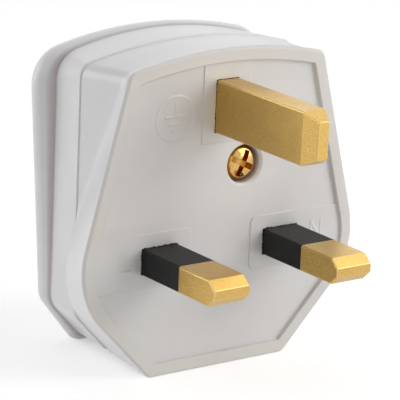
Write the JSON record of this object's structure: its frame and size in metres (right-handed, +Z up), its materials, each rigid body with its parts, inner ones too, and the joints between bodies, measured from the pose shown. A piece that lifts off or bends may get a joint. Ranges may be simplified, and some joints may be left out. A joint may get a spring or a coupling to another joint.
{
  "type": "three pin mains plug",
  "caption": "Rewirable three pin mains plug with rectangular brass pins, sleeved live and neutral pins, a white two part moulding with a grip lip, a fuse inside and a cord inlet.",
  "frame": {"origin": "middle of the live and neutral pin row, on the plane of the rim that meets the socket", "axes": "-Y is the way the pins point, +Z runs up from the live and neutral pins to the earth pin, and +X is to the right as the pins are looked at, towards the neutral pin"},
  "size_m": [0.0498, 0.0455, 0.0493],
  "materials": {
    "white_moulding": "gloss",
    "pin_brass": "satin",
    "sleeve_black": "matte",
    "spring_bronze": "satin",
    "fuse_ceramic": "satin",
    "fuse_plated": "gloss",
    "screw_yellow": "gloss",
    "screw_zinc": "satin",
    "grip_plastic": "matte",
    "washer_fibre": "matte"
  },
  "bodies": {
    "root": {"base": "white_moulding", "cover": "white_moulding", "earth_pin": "pin_brass", "neutral_pin": "pin_brass", "live_pin": "pin_brass", "live_terminal": "pin_brass", "terminal_screws": "pin_brass", "cover_nut": "pin_brass", "neutral_sleeve": "sleeve_black", "live_sleeve": "sleeve_black", "pin_fuse_clip": "spring_bronze", "terminal_fuse_clip": "spring_bronze", "fuse_tube": "fuse_ceramic", "lower_fuse_cap": "fuse_plated", "upper_fuse_cap": "fuse_plated", "fuse_wire": "fuse_plated", "cover_screw": "screw_yellow", "cord_grip_screws": "screw_zinc", "cord_grip_bar": "grip_plastic", "screw_washer": "washer_fibre"}
  },
  "joints": []
}
